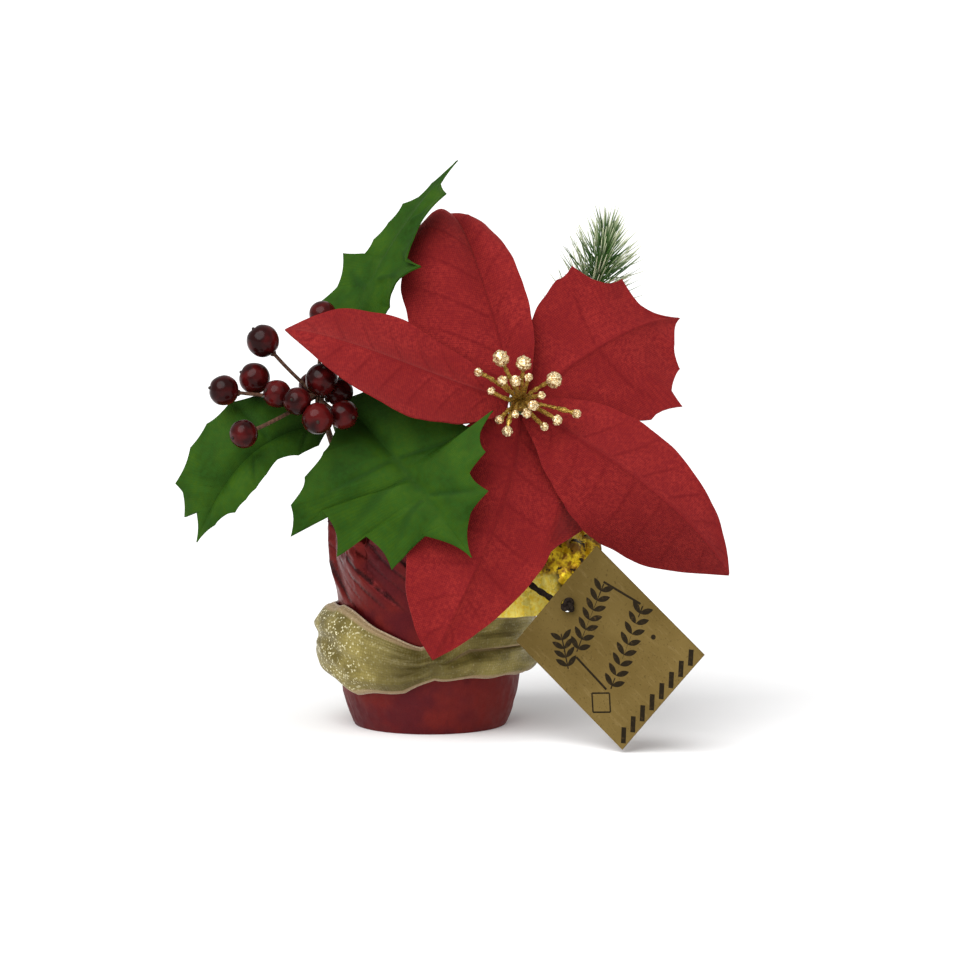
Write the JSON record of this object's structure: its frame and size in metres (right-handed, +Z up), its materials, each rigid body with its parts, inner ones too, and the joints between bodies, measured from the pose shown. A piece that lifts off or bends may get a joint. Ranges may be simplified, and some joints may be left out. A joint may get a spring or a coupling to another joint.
{
  "type": "artificial poinsettia in a foil-wrapped pot",
  "caption": "Small artificial poinsettia with holly leaves, glossy berries and a pine sprig in a pot wrapped in foil, with a gold mesh ribbon and a card tag on a cord.",
  "frame": {"origin": "centre of the pot's wrapped base, on the surface that it stands on", "axes": "+Z up, -Y out of the front, where the bloom and the printed side of the tag face, and +X towards the tag"},
  "size_m": [0.1729, 0.1086, 0.1812],
  "materials": {
    "pot_plastic": "matte",
    "dry_foam": "matte",
    "burgundy_foil": "glossy",
    "gold_mesh": "satin",
    "tag_card": "matte",
    "dark_cord": "matte",
    "green_plastic": "satin",
    "gold_glitter": "glossy",
    "red_cloth": "matte",
    "green_cloth": "satin",
    "berry_red": "glossy",
    "pine_green": "satin"
  },
  "bodies": {
    "root": {"pot_cup": "pot_plastic", "foam_block": "dry_foam", "foil_wrap": "burgundy_foil", "ribbon_band": "gold_mesh", "gift_tag": "tag_card", "tag_cord": "dark_cord", "bloom_stem": "green_plastic", "stamens": "gold_glitter", "bract_left": "red_cloth", "bract_top": "red_cloth", "bract_upper_right": "red_cloth", "bract_lower_right": "red_cloth", "bract_bottom": "red_cloth", "holly_stem": "green_plastic", "holly_leaf_front": "green_cloth", "holly_leaf_left": "green_cloth", "holly_leaf_upper": "green_cloth", "berry_spray": "berry_red", "pine_sprig": "pine_green"}
  },
  "joints": []
}
